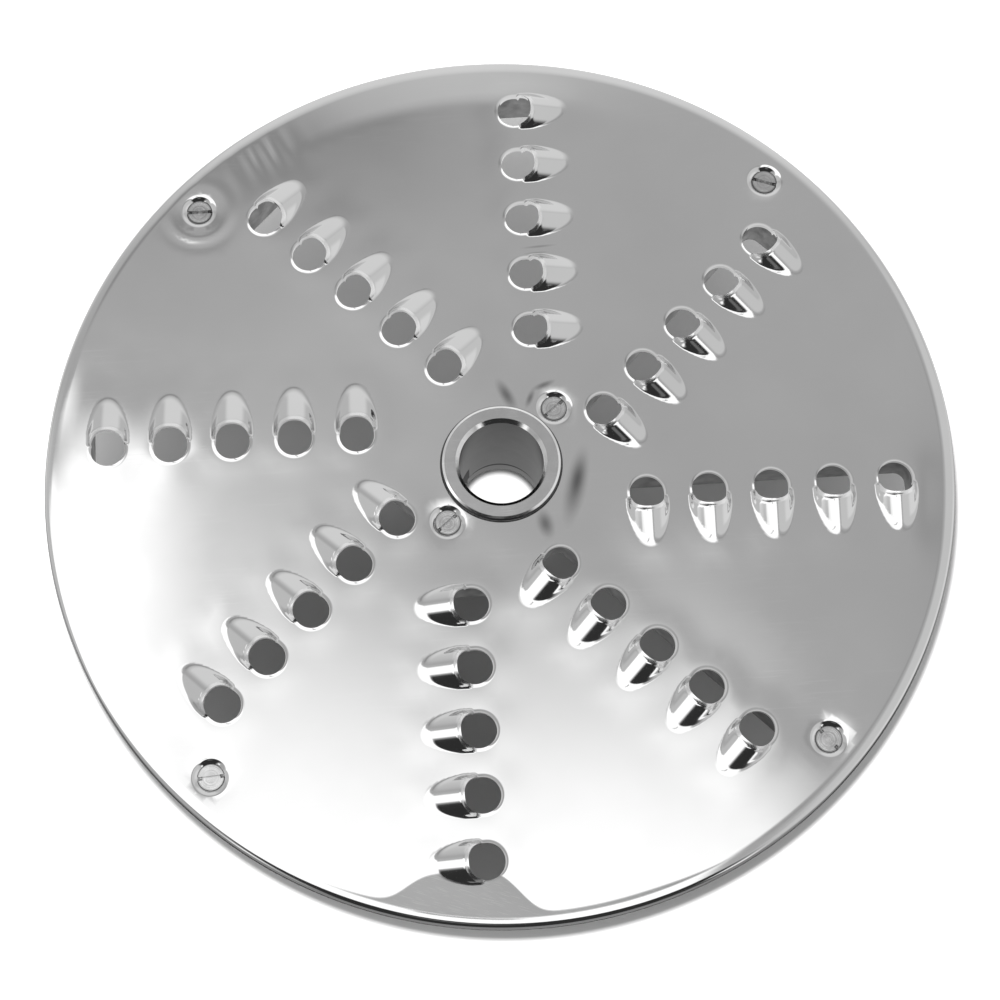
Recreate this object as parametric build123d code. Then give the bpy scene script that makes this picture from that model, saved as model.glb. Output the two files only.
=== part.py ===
"""Shredding disc for a food processor.

A drawn steel plate with eight rows of pressed scoop teeth is held by countersunk
screws on a cast spider, which is seated on a turned hub with a cross slot for the
drive pin.  Millimetres, +Z up, origin on the hub axis at the hub's lower end.
Row 0 of the teeth points along +X and the teeth cut counter-clockwise, seen from above.
"""
import os
from math import atan2, cos, degrees, sqrt
from build123d import *

# Disc and plate
disc_dia = 205.0
sheet_t = 1.0
edge_radius = 1.6            # outside radius of the turned-down edge
skirt_depth = 3.0            # plate top to the lower edge of the skirt
plate_height = 33.5          # plate top above the hub's lower end

# Scoop teeth, measured from the centre of the mouth
row_count = 8
tooth_pitch = 14.0
first_tooth = 32.1           # innermost tooth of an even row, along the row
row_offset = 8.7             # rows lie this far clockwise of a radius
tooth_rim_margin = 13.5      # plain rim outside the outermost mouth centres, at least
mouth_dia = 7.8
hood_width = 9.2             # across the hood beside the lip
hood_height = 2.5
hood_length = 11.8           # mouth centre to the end of the tail
collar_width = 0.8           # raised rim in front of the mouth
collar_height = 0.3

# Screws
rim_screw_inset = 8.4        # disc edge to the centres of the rim screws
hub_screw_circle_r = 18.1
rim_screw_row_index = (1, 3, 5, 7)
rim_screw_turns = (-20, 0, 4, -52)
hub_screw_row_index = (1, 5)
hub_screw_turns = (39, 39)
head_dia = 5.7
shank_dia = 3.5
screw_length = 9.0
driver_slot_w = 0.8
driver_slot_depth = 0.9
shank_tip_chamfer = 0.5
head_sink = 0.75             # screw head below the plate top
hole_play = 0.2              # shank in the plate's hole, on the radius

# Cast spider
spider_depth = 11.0
web_t = 4.0
window_lead = 1.0            # window wall ahead of and beside the mouths
window_trail = 0.3           # window wall behind the tails
window_corner_r = 2.5
window_rib_t = 2.6
rim_rib_t = 3.6
boss_dia = 36.0
boss_depth = 15.0
screw_boss_dia = 9.0
tap_extra_depth = 1.0        # tapped hole past the screw tip

# Turned hub
hub_dia = 27.2
hub_rise = 1.5               # hub top above the plate top
bore_dia = 19.0
bore_chamfer = 0.85
hub_edge_chamfer = 0.45
foot_dia = 33.0              # shoulder that carries the spider's boss
foot_chamfer = 1.0
relief_dia = 19.8            # wider mouth at the lower end of the bore
relief_depth = 5.3
pin_slot_w = 8.8
pin_slot_depth = 11.5
pin_slot_turn = -15.5

# Clearances
spider_play = 0.15           # plate skirt round the spider
hub_play = 0.05              # hub in the spider and in the plate
seat_play = 0.03             # cones of screws and dimples
thread_play = 0.05

# Worked out
disc_r = disc_dia / 2
screw_circle_r = disc_r - rim_screw_inset
mouth_r = mouth_dia / 2
hood_r = (hood_height**2 + (hood_width / 2)**2) / (2 * hood_height)   # arch of the hood
hub_r = hub_dia / 2
head_r = head_dia / 2
shank_r = shank_dia / 2
sheet_under = plate_height - sheet_t
spider_r = disc_r - sheet_t - spider_play
spider_bottom = sheet_under - spider_depth
boss_bottom = sheet_under - boss_depth
row_step = 360 / row_count
dimple_r = head_r + head_sink + seat_play
dimple_hole_r = shank_r + hole_play
cone_shift = sheet_t * sqrt(2)   # a 45 degree cone through the sheet, measured flat
mouth_reach = mouth_dia          # tools run this far past the sheet


def row_start(row):
    """Distance along a row of its innermost tooth; odd rows are staggered half a pitch inwards."""
    return first_tooth - (row % 2) * tooth_pitch / 2


def row_teeth(row):
    """How many teeth fit in a row between its innermost tooth and the plain rim."""
    reach = sqrt((disc_r - tooth_rim_margin)**2 - row_offset**2)
    return int((reach - row_start(row)) / tooth_pitch) + 1


def row_place(row, along, across, height):
    """Location at (along, across) in a row's own axes, at a height."""
    return Rot(0, 0, row * row_step) * Pos(along, across, height)


def tooth_places():
    """One location per tooth: mouth centre on the plate top, mouth facing +Y."""
    return [
        row_place(row, row_start(row) + i * tooth_pitch, -row_offset, plate_height)
        for row in range(row_count)
        for i in range(row_teeth(row))
    ]


def screw_places(rows, circle_r, turns):
    """One location per screw, on the plate top, turned with its driver slot."""
    return [
        Rot(0, 0, row * row_step) * Pos(circle_r, 0, plate_height) * Rot(0, 0, turn - row * row_step)
        for row, turn in zip(rows, turns)
    ]


def rim_screw_places():
    """Locations of the screws near the disc's edge."""
    return screw_places(rim_screw_row_index, screw_circle_r, rim_screw_turns)


def hub_screw_places():
    """Locations of the screws beside the hub."""
    return screw_places(hub_screw_row_index, hub_screw_circle_r, hub_screw_turns)


def turned(points):
    """Solid of revolution about Z from (radius, height) points."""
    return revolve(make_face(Polyline(*[(r, 0, z) for r, z in points], close=True)), Axis.Z)


def hood_form(inset):
    """Hood from lip to tail: a round bar that falls to the tail, level beside the mouth, drawn in by inset."""
    bar = Rot(90, 0, 0) * Cylinder(hood_r - inset, 4 * hood_length)
    level = Pos(0, 0, hood_height - hood_r) * bar
    fall = atan2(hood_height, hood_length - mouth_r)
    falling = Pos(0, -mouth_r, hood_height - hood_r / cos(fall)) * Rot(degrees(fall), 0, 0) * bar
    behind = Pos(0, -hood_length, 0) * Box(4 * hood_r, 2 * hood_length, 4 * hood_r)
    return level & falling & behind


def collar_cone(drop):
    """Low cone round the mouth, lowered by drop and carried on below itself."""
    slope = collar_width / collar_height
    foot_r = mouth_r + collar_width + slope * sheet_t
    return turned([
        (0, -sheet_t - drop),
        (foot_r, -sheet_t - drop),
        (mouth_r, collar_height - drop),
        (0, collar_height - drop),
    ])


def tooth_metal():
    """What a tooth adds above the flat sheet: hood and collar, rooted in half the sheet."""
    keep = Pos(0, 0, hood_height) * Box(
        4 * hood_length, 4 * hood_length, 2 * hood_height + sheet_t)
    return (hood_form(0) + collar_cone(0)) & keep


def tooth_void():
    """What a tooth takes away: the mouth and the hollow behind it, to an even sheet thickness."""
    mouth = Cylinder(mouth_r, 2 * mouth_reach)
    return mouth + hood_form(sheet_t) + collar_cone(sheet_t)


def dimple_metal():
    """Underside of a pressed 45 degree countersink, rooted in the flat sheet."""
    top_r = dimple_r + cone_shift
    foot_depth = dimple_r - dimple_hole_r + sheet_t / sqrt(2)
    return turned([
        (0, 0),
        (top_r, 0),
        (top_r - foot_depth, -foot_depth),
        (0, -foot_depth),
    ]) & Pos(0, 0, -foot_depth - sheet_t / 2) * Cylinder(2 * top_r, 2 * foot_depth)


def dimple_void():
    """Upper cone of a pressed countersink and the hole for the shank."""
    cone = turned([(0, -dimple_r), (2 * dimple_r, dimple_r), (0, dimple_r)])
    return cone + Cylinder(dimple_hole_r, 4 * dimple_r)


def make_plate():
    """Drawn cap with a turned-down edge, pressed teeth, screw dimples and a hole for the hub."""
    hub_hole_r = hub_r + hub_play
    lower = plate_height - skirt_depth
    outer = [
        Line((hub_hole_r, sheet_under), (hub_hole_r, plate_height)),
        Line((hub_hole_r, plate_height), (disc_r - edge_radius, plate_height)),
        CenterArc((disc_r - edge_radius, plate_height - edge_radius), edge_radius, 0, 90),
        Line((disc_r, plate_height - edge_radius), (disc_r, lower)),
        Line((disc_r, lower), (disc_r - sheet_t, lower)),
        Line((disc_r - sheet_t, lower), (disc_r - sheet_t, plate_height - edge_radius)),
        CenterArc((disc_r - edge_radius, plate_height - edge_radius), edge_radius - sheet_t, 0, 90),
        Line((disc_r - edge_radius, sheet_under), (hub_hole_r, sheet_under)),
    ]
    plate = revolve(Plane.XZ * make_face(outer), Axis.Z)
    screws = rim_screw_places() + hub_screw_places()
    teeth = tooth_places()
    metal, void = tooth_metal(), tooth_void()
    dimple, sink = dimple_metal(), dimple_void()
    plate = plate.fuse(*[place * metal for place in teeth], *[place * dimple for place in screws])
    hub_hole = Pos(0, 0, plate_height) * Cylinder(hub_hole_r, 2 * skirt_depth)
    return plate.cut(hub_hole, *[place * void for place in teeth], *[place * sink for place in screws])


def window_outline(row, grow):
    """Window under one row of teeth, with round corners, grown by grow all round."""
    front = mouth_r + window_lead
    back = hood_length + window_trail
    run = (row_teeth(row) - 1) * tooth_pitch
    middle = row_start(row) + run / 2
    across = -row_offset + (front - back) / 2
    outline = RectangleRounded(
        run + 2 * (front + grow), front + back + 2 * grow, window_corner_r + grow)
    return row_place(row, middle, across, 0) * outline


def make_spider():
    """Cast spider: web, rim, boss and screw pads, with a ribbed window under each row of teeth."""
    top = Plane.XY.offset(sheet_under)
    rows = range(row_count)
    rim_ring = Circle(spider_r) - Circle(spider_r - rim_rib_t)
    ribs = rim_ring + [window_outline(row, window_rib_t) for row in rows]
    ribs += [
        Pos(place.position.X, place.position.Y) * Circle(screw_boss_dia / 2)
        for place in rim_screw_places() + hub_screw_places()
    ]
    ribs = ribs & Circle(spider_r)
    body = extrude(top * Circle(spider_r), -web_t)
    body += extrude(top * ribs, -spider_depth)
    body += extrude(top * Circle(boss_dia / 2), -boss_depth)
    windows = Sketch() + [window_outline(row, 0) for row in rows]
    body -= extrude(top * windows, -boss_depth)
    body -= Pos(0, 0, sheet_under) * Cylinder(hub_r + hub_play, 4 * boss_depth)
    shoulder = edge_radius - sheet_t + spider_play
    body -= turned([
        (spider_r + shoulder, sheet_under - shoulder),
        (spider_r, sheet_under - shoulder),
        (spider_r - shoulder, sheet_under),
        (spider_r - shoulder, sheet_under + shoulder),
        (spider_r + shoulder, sheet_under + shoulder),
    ])
    cone_r = dimple_r + cone_shift + seat_play
    tip = cone_r - shank_r - thread_play
    hole_depth = screw_length + head_sink + tap_extra_depth
    tapped = turned([
        (0, 0),
        (cone_r, 0),
        (cone_r - tip, -tip),
        (shank_r + thread_play, -hole_depth),
        (0, -hole_depth),
    ])
    return body.cut(*[place * tapped for place in rim_screw_places() + hub_screw_places()])


def make_hub():
    """Turned hub: chamfered collar above the plate, shoulder for the boss, pin slot below."""
    bore_r = bore_dia / 2
    top = plate_height + hub_rise
    foot_r = foot_dia / 2
    body = turned([
        (bore_r, relief_depth),
        (bore_r, top - bore_chamfer),
        (bore_r + bore_chamfer, top),
        (hub_r - hub_edge_chamfer, top),
        (hub_r, top - hub_edge_chamfer),
        (hub_r, boss_bottom),
        (foot_r, boss_bottom),
        (foot_r, foot_chamfer),
        (foot_r - foot_chamfer, 0),
        (relief_dia / 2, 0),
        (relief_dia / 2, relief_depth),
    ])
    slot = Rot(0, 0, pin_slot_turn) * Box(2 * foot_dia, pin_slot_w, 2 * pin_slot_depth)
    return body - slot


def make_screw():
    """Slotted countersunk screw, its head seated in the dimple."""
    top = -head_sink
    neck = top - (head_r - shank_r)
    tip = top - screw_length
    body = turned([
        (0, top),
        (head_r, top),
        (shank_r, neck),
        (shank_r, tip + shank_tip_chamfer),
        (shank_r - shank_tip_chamfer, tip),
        (0, tip),
    ])
    return body - Pos(0, 0, top) * Box(2 * head_dia, driver_slot_w, 2 * driver_slot_depth)


def screw_set(places):
    """Like screws as one group of separate solids."""
    screw = make_screw()
    return Compound([place * screw for place in places])


pieces = {
    "shredding_plate": make_plate(),
    "spider": make_spider(),
    "drive_hub": make_hub(),
    "rim_screws": screw_set(rim_screw_places()),
    "hub_screws": screw_set(hub_screw_places()),
}
os.makedirs("parts", exist_ok=True)
for name, piece in pieces.items():
    export_step(piece, f"parts/{name}.step")
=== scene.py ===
"""Shredding disc for a food processor: polished plate with scoop teeth, hub, screws and spider."""
from math import asin, cos, hypot, pi, radians, sin, sqrt

import bpy
import numpy as np
from mathutils import Matrix, Vector
from mathutils.geometry import delaunay_2d_cdt


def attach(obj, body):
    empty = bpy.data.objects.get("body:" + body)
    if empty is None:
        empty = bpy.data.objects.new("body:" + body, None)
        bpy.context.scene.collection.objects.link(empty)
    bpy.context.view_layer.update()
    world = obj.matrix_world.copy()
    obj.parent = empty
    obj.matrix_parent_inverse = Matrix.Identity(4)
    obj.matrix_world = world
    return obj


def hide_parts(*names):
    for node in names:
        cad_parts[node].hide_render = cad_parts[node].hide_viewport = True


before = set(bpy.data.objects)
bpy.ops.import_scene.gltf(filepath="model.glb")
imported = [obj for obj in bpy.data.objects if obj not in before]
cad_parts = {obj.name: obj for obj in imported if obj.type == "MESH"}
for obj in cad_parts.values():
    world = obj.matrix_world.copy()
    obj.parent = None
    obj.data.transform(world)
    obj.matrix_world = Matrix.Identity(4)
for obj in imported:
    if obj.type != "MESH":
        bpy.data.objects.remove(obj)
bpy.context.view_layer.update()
MM = 0.001

# Sizes in millimetres, as in the solid model apart from the hub's hole and its outer edge
disc_r = 102.5
sheet_t = 1.0
edge_radius = 1.6
skirt_depth = 3.0
plate_z = 33.5
row_count = 8
row_teeth = 5
tooth_pitch = 14.0
first_tooth = 32.1
row_offset = 8.7
mouth_r = 3.9
hood_width = 9.2
hood_height = 2.5
hood_length = 11.8
collar_width = 0.8
rim_screw_r = 94.1
rim_screw_rows = (1, 3, 5, 7)
hub_screw_r = 18.1
hub_screw_rows = (1, 5)
dimple_hole_r = 1.95
dimple_r = 3.63
head_shade_edge = (2.5, 2.95)    # stretch in which a screw head's colour darkens to its edge, painted shade of the gap round it
hub_hole_r = 13.8
hub_r = 13.6
hub_top = 35.0
hub_edge_chamfer = 0.8
hub_edge_break = (0.3, 0.25)   # from the hub's side and from its top, where the chamfer steepens
bore_chamfer = 0.85
bore_r = 9.5
relief_r = 9.9
relief_z = 5.3
relief_shade = 2.1           # stretch at the top of the relief, darkened as painted shade
foot_r = 16.5
foot_top = 17.5
foot_chamfer = 1.0
pin_slot_half = 4.4
pin_slot_depth = 11.5
pin_slot_turn = -15.5

# Finish of the pressed sheet
hood_r = (hood_height**2 + (hood_width / 2)**2) / (2 * hood_height)
crest_bend = (2.8, 4.8)      # behind the mouth's centre, the crest bends from level to its slope
mouth_power = 2.4            # above 2 the back of the mouth is squarer than a circle
fillet_depth = 0.55          # blend at the foot of a hood where it is steep
fillet_bend = 0.08           # slope, squared, at which the blend is half as deep
lip_rise = 0.13              # raised rim in front of the mouth
ground_width = 0.8           # strip ground behind the cutting lip
ground_rise = 0.08           # the strip rises to the lip
groove_width = 0.3           # line left behind the strip
groove_depth = 0.03
swell_height = 0.08          # sheet drawn up round a hood
swell_reach = 4.0
crown_width = 1.7            # stretch before the edge where the sheet rolls off
crown_slope = 0.22
crown_end = disc_r - edge_radius * (1 - sin(crown_slope))
bevel_lead = 4.0             # stretch in which a bevel begins
# Places where the sheet falls to the rim: angle and spread (degrees), slope, radius where it begins
bevels = ((262, 8, 0.06, 92.0), (93, 22, 0.078, 89.5), (172, 7, 0.04, 92.0), (352, 7, 0.03, 92.0))
dimple_round = 0.7           # rounding at the mouth of a dimple
dish_depth = 0.16            # sheet drawn down round a screw
dish_reach = 3.8
hard_screw = 1               # screw that was drawn down hardest, with rings round it
ring_height = 0.037
ring_pitch = 5.6
ring_middle = 6.8
ring_spread = 3.2
fold_height = 0.06           # folds from that screw to the tooth beside it
fold_pitch = 4.8
fold_place = (-51.5, 80.5)
fold_reach = (7.5, 5.0)
fold_turn = radians(20)
# Long flat waves in the sheet: height, length, direction (degrees), phase
waves = ((0.006, 47, 20, 0.5), (0.004, 33, 110, 2.1), (0.004, 61, 65, 4.0))

# Mesh density
tooth_columns = 70
tooth_rows = 23
tooth_rows_below = 2
egg_margin = 1.7             # flat kept round a hood
dimple_columns = 48
dimple_rows = 12
dimple_margin = 0.62         # flat kept round a dimple
edge_columns = 240
roll_rows = 11
hub_columns = 96
# Spacing of free points between the teeth, near the rim and round the hardest screw, then where these begin
field_step = 2.1
rim_step = 0.7
ring_step = 0.9
rim_zone = 91.0
ring_zone = 11.5
fold_zone = 9.5


# Heights

def smooth_max(a, b, k):
    """Larger of two heights, blended by a parabola where they are within k of each other."""
    near = np.maximum(k - np.abs(a - b), 0) / k
    return np.maximum(a, b) + near * near * k / 4


def smooth_step(a, b, x):
    """Cubic ramp from 0 at a to 1 at b."""
    t = np.clip((x - a) / (b - a), 0, 1)
    return t * t * (3 - 2 * t)


def mouth_distance(x, y):
    """Distance outside the mouth: a circle in front, a squarer power curve of the same reach behind."""
    curve = (np.abs(x)**mouth_power + np.abs(y)**mouth_power)**(1 / mouth_power)
    return np.where(y > 0, np.hypot(x, y), curve) - mouth_r


def crest_fall(t):
    """Fall of the crest at t behind the mouth's centre: level, a cubic bend, then even to the tail."""
    a, b = crest_bend
    u = np.clip((t - a) / (b - a), 0, 1)
    return hood_height / (hood_length - (a + b) / 2) * ((b - a) * (u**3 - u**4 / 2) + np.maximum(t - b, 0))


def hood_relief(x, y):
    """Hood: a round bar along the tooth, its crest falling to the tail, cut off beside the mouth."""
    arch = hood_height - crest_fall(-y) - hood_r + np.sqrt(np.maximum(hood_r**2 - x**2, 0))
    return np.where(np.abs(x) < hood_r, arch, -hood_r) - 2 * hood_height * (1 - smooth_step(-0.2, 1.4, -y))


def ground_mask(x, y):
    """One in the strip ground behind the lip, fading at its back edge and at the hood's shoulders."""
    strip = 1 - smooth_step(ground_width - 0.12, ground_width + 0.05, mouth_distance(x, y))
    return strip * smooth_step(0.3, 1.2, hood_relief(x, y))


def tooth_relief(x, y):
    """Tooth above the sheet: hood and collar blended, deeper where the hood is steep, and the ground strip."""
    behind = mouth_distance(x, y)
    collar = lip_rise * np.clip(1 - behind / collar_width, 0, None)**2
    hood = hood_relief(x, y)
    along, across = slope(hood_relief, x, y)
    steep = np.minimum(along**2 + across**2, 4)
    form = smooth_max(collar, hood, 0.02 + fillet_depth * steep / (fillet_bend + steep))
    lip = smooth_step(0.3, 1.2, hood)
    groove = np.clip(1 - ((behind - ground_width) / groove_width)**2, 0, None)**2
    return form - lip * (groove_depth * groove - ground_rise * np.clip(1 - behind / ground_width, 0, 1))


def dimple_relief(r):
    """Countersink: a 45 degree cone below the flat, blended at its mouth."""
    return -smooth_max(np.zeros_like(r), dimple_r - r, dimple_round)


def crown_relief(x, y):
    """Rim: the slope grows by 1 - (1 - t)^2 over the crown; before it, in places, a bevel falls to the rim."""
    r, angle = np.hypot(x, y), np.arctan2(y, x)
    start = crown_end - crown_width
    t = np.maximum((r - start) / crown_width, 0)
    height = -crown_slope * crown_width * (t * t - t**3 / 3)
    for middle, spread, steep, first in bevels:
        bell = np.exp(-(2 * np.sin((angle - radians(middle)) / 2) / radians(spread))**2)
        over = np.clip(np.minimum(r, start) - first, 0, None)
        run = np.where(over < bevel_lead, over**2 / (2 * bevel_lead), over - bevel_lead / 2)
        height = height - steep * bell * (run + crown_width * (1 - (1 - np.minimum(t, 1))**3) / 3)
    return height


def swell_relief(x, y):
    """Sheet drawn up round every hood, by a bell curve of the distance from its outline."""
    height = 0
    for turn, along, across in zip(*tooth_frames()):
        u = x * cos(turn) + y * sin(turn) - along
        v = y * cos(turn) - x * sin(turn) - across
        height = height + swell_height * np.exp(-(np.maximum(egg_side(u, v, 0), 0) / swell_reach)**2)
    return height


def dish_relief(x, y):
    """Sheet drawn down round every screw by a bell curve; at the hardest one sine rings and folds die away."""
    height = 0
    for number, (cx, cy) in enumerate(screw_centres()):
        r = np.hypot(x - cx, y - cy)
        height = height - dish_depth * np.exp(-(r / dish_reach)**2)
        if number == hard_screw:
            side = (cy - y) / np.maximum(r, 0.1)
            rings = np.sin(2 * pi * r / ring_pitch) * np.exp(-((r - ring_middle) / ring_spread)**2)
            height = height + ring_height * (1 + 0.7 * side) * rings
    u, v = x - fold_place[0], y - fold_place[1]
    u, v = u * cos(fold_turn) + v * sin(fold_turn), v * cos(fold_turn) - u * sin(fold_turn)
    window = np.exp(-(u / fold_reach[0])**2 - (v / fold_reach[1])**2)
    return height + fold_height * np.sin(2 * pi * u / fold_pitch) * window


def sheet_relief(x, y):
    """Plain sheet: crown, swells, dishes, and long flat waves as sines in three directions."""
    height = crown_relief(x, y) + swell_relief(x, y) + dish_relief(x, y)
    for rise, length, direction, phase in waves:
        a = radians(direction)
        height = height + rise * np.sin(2 * pi * (x * cos(a) + y * sin(a)) / length + phase)
    return height


def slope(relief, x, y, step=0.02):
    """Slopes of a height function along X and Y, by central differences."""
    along_x = (relief(x + step, y) - relief(x - step, y)) / (2 * step)
    along_y = (relief(x, y + step) - relief(x, y - step)) / (2 * step)
    return along_x, along_y


# Meshes

def grid_faces(index, closed):
    """Quads over a block of vertex numbers; closed joins its last column to its first."""
    if closed:
        index = np.concatenate([index, index[..., :1]], -1)
    a, b = index[..., :-1, :-1], index[..., :-1, 1:]
    c, d = index[..., 1:, 1:], index[..., 1:, :-1]
    return np.stack([a, b, c, d], -1).reshape(-1, 4)


class Shell:
    """Vertices and face blocks of one piece, each face corner with its own normal."""

    def __init__(self):
        self.points, self.marks, self.blocks, self.count = [], [], [], 0

    def add(self, points, mark=0.0):
        """Adds an array of points (mm) and returns its vertex numbers in the same layout."""
        flat = np.asarray(points, float).reshape(-1, 3)
        self.points.append(flat)
        self.marks.append(np.broadcast_to(mark, np.shape(points)[:-1]).reshape(-1))
        index = np.arange(self.count, self.count + len(flat))
        self.count += len(flat)
        return index.reshape(np.shape(points)[:-1])

    def face(self, faces, normals, flip=False):
        """Adds faces with one normal for each of their corners."""
        if flip:
            faces, normals = faces[:, ::-1], normals[:, ::-1]
        self.blocks.append((faces, normals))

    def grid(self, index, normals, closed=True, flip=False):
        """Adds a grid of quads; normals has the same layout as index."""
        order = np.arange(index.size).reshape(index.shape)
        corner = grid_faces(order, closed)
        self.face(index.reshape(-1)[corner], normals.reshape(-1, 3)[corner], flip)

    def build(self, name, mark_name=None):
        """Mesh object in metres with smooth corners and the marks as an attribute."""
        mesh = bpy.data.meshes.new(name)
        points = np.concatenate(self.points) * MM
        sizes = np.concatenate([np.full(len(f), f.shape[1]) for f, n in self.blocks])
        corners = np.concatenate([f.reshape(-1) for f, n in self.blocks])
        normals = np.concatenate([n.reshape(-1, 3) for f, n in self.blocks])
        mesh.vertices.add(len(points))
        mesh.vertices.foreach_set("co", points.reshape(-1))
        mesh.loops.add(len(corners))
        mesh.loops.foreach_set("vertex_index", corners)
        mesh.polygons.add(len(sizes))
        mesh.polygons.foreach_set("loop_start", np.concatenate([[0], np.cumsum(sizes)[:-1]]))
        mesh.update(calc_edges=True)
        mesh.polygons.foreach_set("use_smooth", np.ones(len(sizes), bool))
        mesh.normals_split_custom_set((normals / np.linalg.norm(normals, axis=1, keepdims=True)).tolist())
        if mark_name:
            layer = mesh.attributes.new(mark_name, "FLOAT", "POINT")
            layer.data.foreach_set("value", np.concatenate(self.marks))
        piece = bpy.data.objects.new(name, mesh)
        bpy.context.scene.collection.objects.link(piece)
        return piece


def ring(radius, columns, z=0.0):
    """Circle of points about the axis."""
    a = np.linspace(0, 2 * pi, columns, endpoint=False)
    return np.stack([radius * np.cos(a), radius * np.sin(a), np.full_like(a, z)], -1)


def egg_outline(columns, margin):
    """Half ellipse round the mouth's front, a longer half behind it, widened by a margin, in equal steps."""
    half = hood_width / 2 + margin
    a = np.linspace(0, pi, 1200)
    reach = np.where(a < pi / 2, mouth_r + margin, hood_length + margin)
    x, y = half * np.sin(a), reach * np.cos(a)
    x, y = np.concatenate([x, -x[-2::-1]]), np.concatenate([y, y[-2::-1]])
    along = np.concatenate([[0], np.cumsum(np.hypot(np.diff(x), np.diff(y)))])
    at = np.linspace(0, along[-1], columns, endpoint=False)
    return np.stack([np.interp(at, along, x), np.interp(at, along, y)], -1)


def egg_side(x, y, margin):
    """Rough signed distance to the egg outline, negative inside: the ellipse's value over its slope."""
    half = hood_width / 2 + margin
    reach = np.where(y > 0, mouth_r + margin, hood_length + margin)
    value = np.hypot(x / half, y / reach)
    steep = np.hypot(x / half**2, y / reach**2)
    return (value - 1) * value / np.maximum(steep, 1e-6)


def tooth_frames():
    """Turn and mouth centre of each tooth, row by row; odd rows are staggered half a pitch inwards."""
    row = np.repeat(np.arange(row_count), row_teeth)
    step = np.tile(np.arange(row_teeth), row_count)
    turn = row * 2 * pi / row_count
    along = first_tooth - (row % 2) * tooth_pitch / 2 + step * tooth_pitch
    return turn, along, np.full_like(along, -row_offset)


def screw_centres():
    """Centres of the rim screws, then of the hub screws."""
    turn = np.array(rim_screw_rows + hub_screw_rows) * 2 * pi / row_count
    r = np.array([rim_screw_r] * len(rim_screw_rows) + [hub_screw_r] * len(hub_screw_rows))
    return np.stack([r * np.cos(turn), r * np.sin(turn)], -1)


def up_normals(gx, gy):
    """Upward normals of a surface with these slopes."""
    n = np.stack([-gx, -gy, np.ones_like(gx)], -1)
    return n / np.linalg.norm(n, axis=-1, keepdims=True)


def lower_side(points, normals):
    """Underside of the sheet: straight below each point, by the thickness measured along the normal."""
    below = points.copy()
    below[..., 2] -= sheet_t / normals[..., 2]
    return below


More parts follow.
